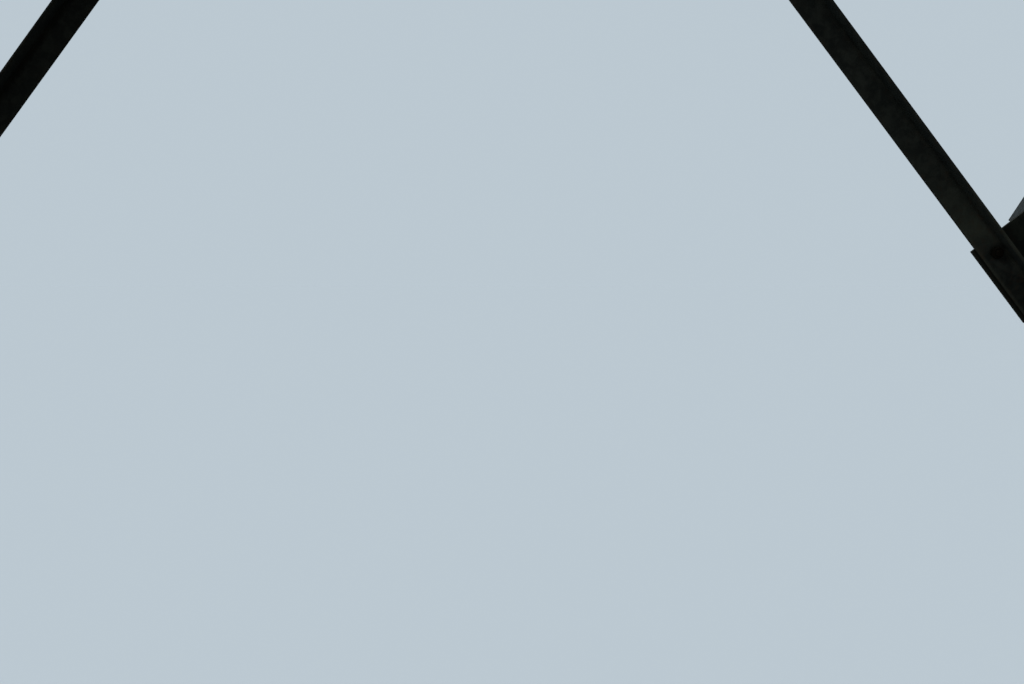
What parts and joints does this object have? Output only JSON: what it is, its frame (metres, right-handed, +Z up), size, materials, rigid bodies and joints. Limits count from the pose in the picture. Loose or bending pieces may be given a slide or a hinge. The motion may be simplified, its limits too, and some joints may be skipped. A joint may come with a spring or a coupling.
{
  "type": "fire lookout tower frame",
  "caption": "Bolted steel angle frame of a fire lookout tower: leaning legs, inverted-V braces with short struts, girts, gusset plates and base plates.",
  "frame": {"origin": "centre of the square of base plates, on the ground", "axes": "+Z up; +Y north, +X east; the picture looks along +Y from inside the top bay"},
  "size_m": [6.82, 6.82, 10.92],
  "materials": {
    "legs": "weathered dark steel, dull, streaked",
    "braces": "weathered dark steel, dull, olive-grey mottled",
    "girts": "weathered dark steel, dull",
    "struts": "weathered dark steel, dull, bluish grey",
    "gussets": "weathered dark steel plate, dull, small rust spots",
    "splices": "weathered dark steel, dull",
    "base_plates": "weathered dark steel plate, dusty, rusty at the rims"
  },
  "bodies": {
    "root": {"north_east_base_plate": "base_plates", "south_east_base_plate": "base_plates", "south_west_base_plate": "base_plates", "north_west_base_plate": "base_plates", "bay1_north_east_leg": "legs", "bay1_south_east_leg": "legs", "bay1_south_west_leg": "legs", "bay1_north_west_leg": "legs", "bay2_north_east_leg": "legs", "bay2_south_east_leg": "legs", "bay2_south_west_leg": "legs", "bay2_north_west_leg": "legs", "bay3_north_east_leg": "legs", "bay3_south_east_leg": "legs", "bay3_south_west_leg": "legs", "bay3_north_west_leg": "legs", "bay1_north_braces": "braces", "bay1_east_braces": "braces", "bay1_south_braces": "braces", "bay1_west_braces": "braces", "bay2_north_braces": "braces", "bay2_east_braces": "braces", "bay2_south_braces": "braces", "bay2_west_braces": "braces", "bay3_north_braces": "braces", "bay3_east_braces": "braces", "bay3_south_braces": "braces", "bay3_west_braces": "braces", "bay1_girts": "girts", "bay2_girts": "girts", "bay3_girts": "girts", "bay1_struts": "struts", "bay2_struts": "struts", "bay3_struts": "struts", "bay1_brace_gussets": "gussets", "bay2_brace_gussets": "gussets", "bay3_brace_gussets": "gussets", "bay1_leg_gussets": "gussets", "bay2_leg_gussets": "gussets", "bay3_leg_gussets": "gussets", "bay1_leg_splices": "splices", "bay2_leg_splices": "splices", "foot_gussets": "gussets"}
  },
  "joints": []
}
